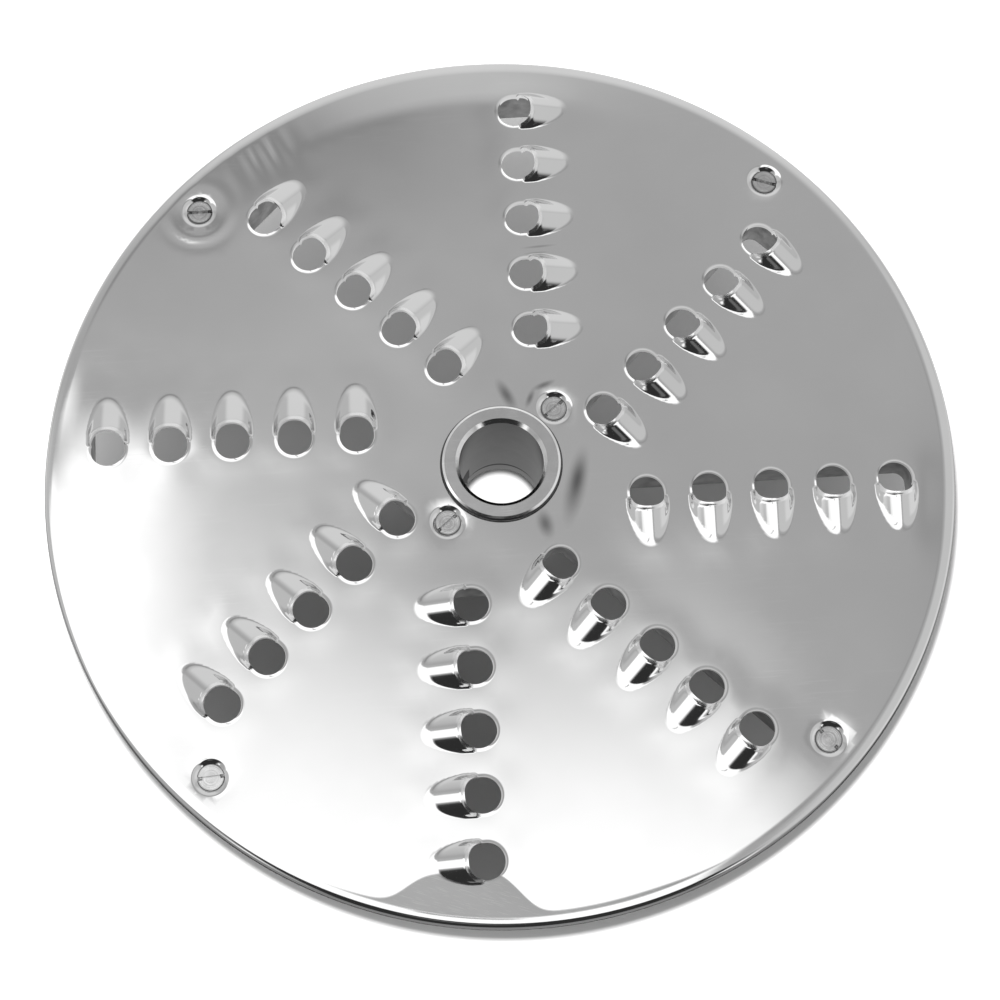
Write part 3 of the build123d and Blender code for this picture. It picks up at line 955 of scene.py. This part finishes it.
def make_world():
    """Studio as soft-edged panels laid over each other on the sky, white to the camera itself."""
    world = bpy.data.worlds.new("studio")
    bpy.context.scene.world = world
    world.use_nodes = True
    world.cycles.sampling_method = "NONE"
    nodes, links = world.node_tree.nodes, world.node_tree.links
    background = nodes["Background"]
    coord = nodes.new("ShaderNodeTexCoord")
    turn = nodes.new("ShaderNodeVectorRotate")
    turn.rotation_type = "Z_AXIS"
    turn.inputs["Angle"].default_value = radians(-view_azimuth)
    links.new(coord.outputs["Generated"], turn.inputs["Vector"])
    split = nodes.new("ShaderNodeSeparateXYZ")
    links.new(turn.outputs["Vector"], split.inputs[0])
    x, y, z = split.outputs

    def op(operation, *values):
        return math_node(nodes, links, operation, *values)

    off_zenith = op("MULTIPLY", op("ARCCOSINE", z), 180 / pi)
    flat = op("MAXIMUM", op("SQRT", op("ADD", op("MULTIPLY", x, x), op("MULTIPLY", y, y))), 1e-5)
    east = op("MULTIPLY", op("DIVIDE", x, flat), off_zenith)
    north = op("MULTIPLY", op("DIVIDE", y, flat), off_zenith)
    level = studio_base
    for panel_level, *corners in studio_panels:
        inside = None
        for (e0, n0, soft), (e1, n1, _) in zip(corners, corners[1:] + corners[:1]):
            a, b = (n0 - n1) / hypot(e1 - e0, n1 - n0), (e1 - e0) / hypot(e1 - e0, n1 - n0)
            depth = op("MULTIPLY_ADD", east, a, op("MULTIPLY_ADD", north, b, -a * e0 - b * n0))
            side = ramp_node(nodes, links, depth, -soft, soft)
            inside = side if inside is None else op("MULTIPLY", inside, side)
        mix = nodes.new("ShaderNodeMix")
        links.new(inside, mix.inputs["Factor"])
        if hasattr(level, "links"):
            links.new(level, mix.inputs["A"])
        else:
            mix.inputs["A"].default_value = level
        mix.inputs["B"].default_value = panel_level
        level = mix.outputs["Result"]
    path = nodes.new("ShaderNodeLightPath")
    seen = nodes.new("ShaderNodeMix")
    links.new(path.outputs["Is Camera Ray"], seen.inputs["Factor"])
    links.new(level, seen.inputs["A"])
    seen.inputs["B"].default_value = 1.0
    links.new(seen.outputs["Result"], background.inputs["Strength"])
    background.inputs["Color"].default_value = (1, 1, 1, 1)


shadow_edge = 110.0          # floor that reads as white starts here
shadow_soft = 0.9
shadow_shift = (1.6, 7.9)
under_reach = (-40.0, 80.0)  # painted light: between these Y the floor seen through the mouths glows to the camera, brightening by under_level
under_level = 0.1

# Floor as mirrors see it: from one Y to another, in disc radii, it brightens by a level
floor_rises = ((-1.03, -0.3, 0.43), (-0.3, 0.9, 0.55), (-1.02, -1.1, 0.3))


def make_floor():
    """Round white floor that keeps the disc's shadow; mirrors see it dark in front; it is clear from below."""
    shell = Shell()
    index = shell.add(np.stack([ring(1e-3, 64), ring(4000, 64)]))
    shell.grid(index, np.broadcast_to(np.array([0, 0, 1.0]), index.shape + (3,)), flip=True)
    floor = shell.build("floor")
    material, nodes, links, shader = new_material("floor_white")
    shader.inputs["Base Color"].default_value = (0.72, 0.72, 0.72, 1)
    shader.inputs["Roughness"].default_value = 1.0
    shader.inputs["Specular IOR Level"].default_value = 0.0
    shader.inputs["Emission Color"].default_value = (1, 1, 1, 1)

    def op(operation, *values):
        return math_node(nodes, links, operation, *values)

    coord = nodes.new("ShaderNodeTexCoord")
    split = nodes.new("ShaderNodeSeparateXYZ")
    links.new(coord.outputs["Object"], split.inputs[0])
    x = op("SUBTRACT", split.outputs["X"], shadow_shift[0] * MM)
    y = op("SUBTRACT", split.outputs["Y"], shadow_shift[1] * MM)
    r = op("SQRT", op("ADD", op("MULTIPLY", x, x), op("MULTIPLY", y, y)))
    outside = ramp_node(nodes, links, r, (shadow_edge - shadow_soft) * MM, (shadow_edge + shadow_soft) * MM)
    floor_x, floor_y = split.outputs["X"], split.outputs["Y"]
    # Painted light: the shaded floor below the bore glows white to the camera
    hub_away = op("SQRT", op("ADD", op("MULTIPLY", floor_x, floor_x), op("MULTIPLY", floor_y, floor_y)))
    through = ramp_node(nodes, links, hub_away, (bore_r + 0.2) * MM, (bore_r - 1.6) * MM)
    path = nodes.new("ShaderNodeLightPath")
    # Painted light: a faint glow on the shaded floor under the disc, seen only by the camera
    under = ramp_node(nodes, links, floor_y, under_reach[0] * MM, under_reach[1] * MM, 0.0, under_level)
    bright = op("ADD", op("ADD", outside, through), under)
    links.new(op("MULTIPLY", bright, path.outputs["Is Camera Ray"]),
              shader.inputs["Emission Strength"])
    mirrored = nodes.new("ShaderNodeEmission")
    level = 0.02
    for start, end, rise in floor_rises:
        ramp = ramp_node(nodes, links, floor_y, start * disc_r * MM, end * disc_r * MM, 0.0, rise)
        level = op("ADD", ramp, level)
    links.new(level, mirrored.inputs["Strength"])
    mix = nodes.new("ShaderNodeMixShader")
    links.new(path.outputs["Is Glossy Ray"], mix.inputs["Fac"])
    links.new(shader.outputs[0], mix.inputs[1])
    links.new(mirrored.outputs[0], mix.inputs[2])
    clear = nodes.new("ShaderNodeBsdfTransparent")
    sides = nodes.new("ShaderNodeMixShader")
    links.new(nodes.new("ShaderNodeNewGeometry").outputs["Backfacing"], sides.inputs["Fac"])
    links.new(mix.outputs[0], sides.inputs[1])
    links.new(clear.outputs[0], sides.inputs[2])
    links.new(sides.outputs[0], nodes["Material Output"].inputs["Surface"])
    floor.data.materials.append(material)


def dress(piece, material, node):
    """Gives a new piece its material and lets it stand for a node of the solid model."""
    piece.data.materials.append(material)
    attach(piece, "root")
    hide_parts(node)


dress(make_plate(), polished_steel(), "shredding_plate")
dress(make_hub(), turned_steel(), "drive_hub")
for node, material in (("spider", cast_metal()),
                       ("rim_screws", screw_steel("rim_screw_heads", rim_screw_r / sqrt(2))),
                       ("hub_screws", screw_steel("hub_screw_heads", hub_screw_r / sqrt(2)))):
    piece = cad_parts[node]
    piece.data.materials.clear()
    piece.data.materials.append(material)
make_camera()
make_world()
make_floor()
bpy.context.scene.view_settings.view_transform = "Standard"
